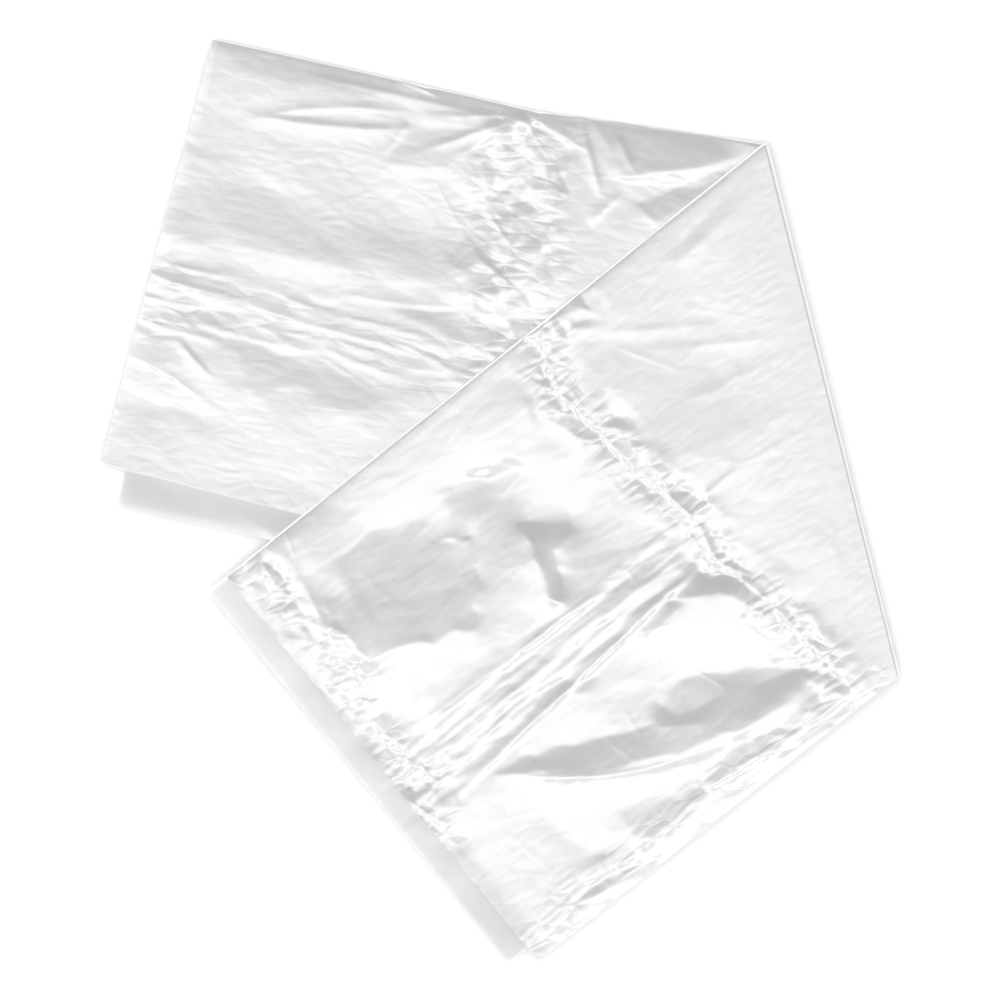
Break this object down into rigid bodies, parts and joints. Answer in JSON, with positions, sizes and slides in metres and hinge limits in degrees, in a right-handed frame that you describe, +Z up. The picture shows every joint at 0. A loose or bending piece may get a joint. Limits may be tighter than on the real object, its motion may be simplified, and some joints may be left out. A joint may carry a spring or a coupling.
{
  "type": "folded disposable barber cape",
  "caption": "Disposable barber cape of clear glossy plastic film, folded lengthwise into a strip and folded over on a slant, with its neck cut-out and ties inside.",
  "frame": {"origin": "on the table under the middle of the folded cape", "axes": "+Z up from the table, +Y towards the edge where the slanting fold starts, +X towards the slanting fold"},
  "size_m": [0.6414, 0.7398, 0.0103],
  "materials": {
    "film_panel": "clear polyethylene film, glossy and crinkled, milky where leaves lie on each other",
    "film_fold": "the same film turned round a fold, a little denser",
    "film_tie": "strip of the same film, welded on"
  },
  "bodies": {
    "lower_arm": {"lower_neck_leaf": "film_panel", "lower_hem_leaf": "film_panel", "lower_lap_leaf": "film_panel", "lower_chest_leaf": "film_panel", "lower_neck_chest_fold": "film_fold", "lower_lap_hem_fold": "film_fold", "lower_chest_lap_fold": "film_fold", "neck_roll": "film_fold", "hem_roll": "film_fold", "lap_roll": "film_fold", "chest_roll": "film_fold", "left_tie": "film_tie", "right_tie": "film_tie"},
    "upper_arm": {"upper_neck_leaf": "film_panel", "upper_hem_leaf": "film_panel", "upper_lap_leaf": "film_panel", "upper_chest_leaf": "film_panel", "upper_neck_chest_fold": "film_fold", "upper_lap_hem_fold": "film_fold", "upper_chest_lap_fold": "film_fold"}
  },
  "joints": [
    {"name": "slanting_fold", "type": "hinge", "parent": "lower_arm", "child": "upper_arm", "pos_m": [0.20994, 0.28672, 0.00515], "axis": [-0.2428, 0.9701, 0], "range_deg": [0, 180], "deforming": ["neck_roll", "hem_roll", "lap_roll", "chest_roll"]}
  ]
}
